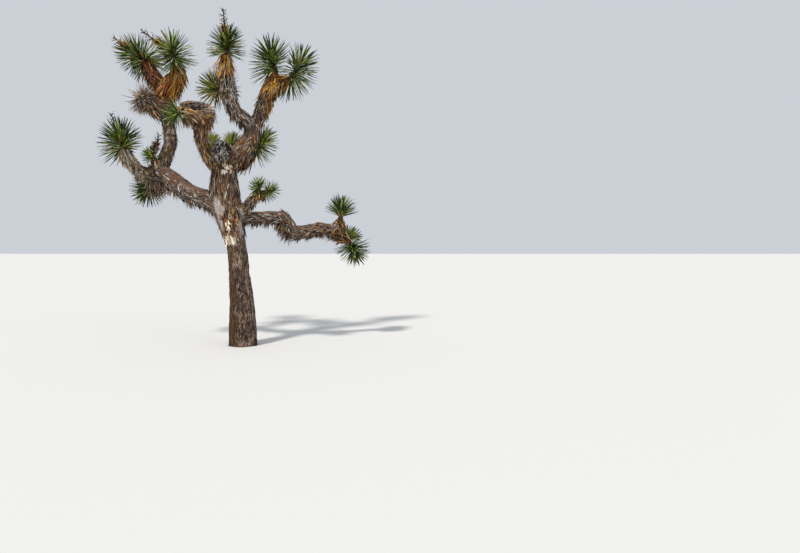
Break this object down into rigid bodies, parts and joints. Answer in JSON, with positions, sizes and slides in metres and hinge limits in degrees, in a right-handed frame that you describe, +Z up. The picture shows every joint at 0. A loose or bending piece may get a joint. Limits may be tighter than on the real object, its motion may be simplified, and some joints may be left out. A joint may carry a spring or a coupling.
{
  "type": "joshua tree",
  "caption": "Branching desert tree yucca: a leaning shaggy trunk, crooked boughs and spiky rosettes of dagger leaves over skirts of dead ones.",
  "frame": {"origin": "middle of the flat cut under the trunk, at ground level", "axes": "+Z up along the tree's height, +X towards the long low bough on the right as the picture shows it, +Y away from the viewer"},
  "size_m": [3.8467, 2.0395, 4.6572],
  "materials": {
    "bark": "shaggy grey-brown bark of old dead leaves, matt",
    "foliage": "stiff green dagger leaves, satin, over straw-coloured dead ones",
    "dead_foliage": "dry grey-brown dead leaves, matt"
  },
  "bodies": {
    "root": {"trunk": "bark", "left_bough": "bark", "left_upright_bough": "bark", "left_outer_bough": "bark", "crook_bough": "bark", "crook_arm": "bark", "main_bough": "bark", "centre_bough": "bark", "right_top_bough": "bark", "back_bough": "bark", "dead_stump": "bark", "small_bough": "bark", "long_bough": "bark", "long_bough_end": "bark", "top_left_outer_rosette": "foliage", "top_left_inner_rosette": "foliage", "dead_rosette": "dead_foliage", "left_tip_rosette": "foliage", "left_spur_rosette": "foliage", "left_hanging_rosette": "foliage", "crook_rosette": "foliage", "centre_rosette": "foliage", "centre_side_rosette": "foliage", "right_top_inner_rosette": "foliage", "right_top_outer_rosette": "foliage", "main_side_rosette": "foliage", "back_left_rosette": "foliage", "back_right_rosette": "foliage", "small_upper_rosette": "foliage", "small_outer_rosette": "foliage", "long_upright_rosette": "foliage", "long_back_rosette": "foliage", "long_hanging_rosette": "foliage"}
  },
  "joints": []
}
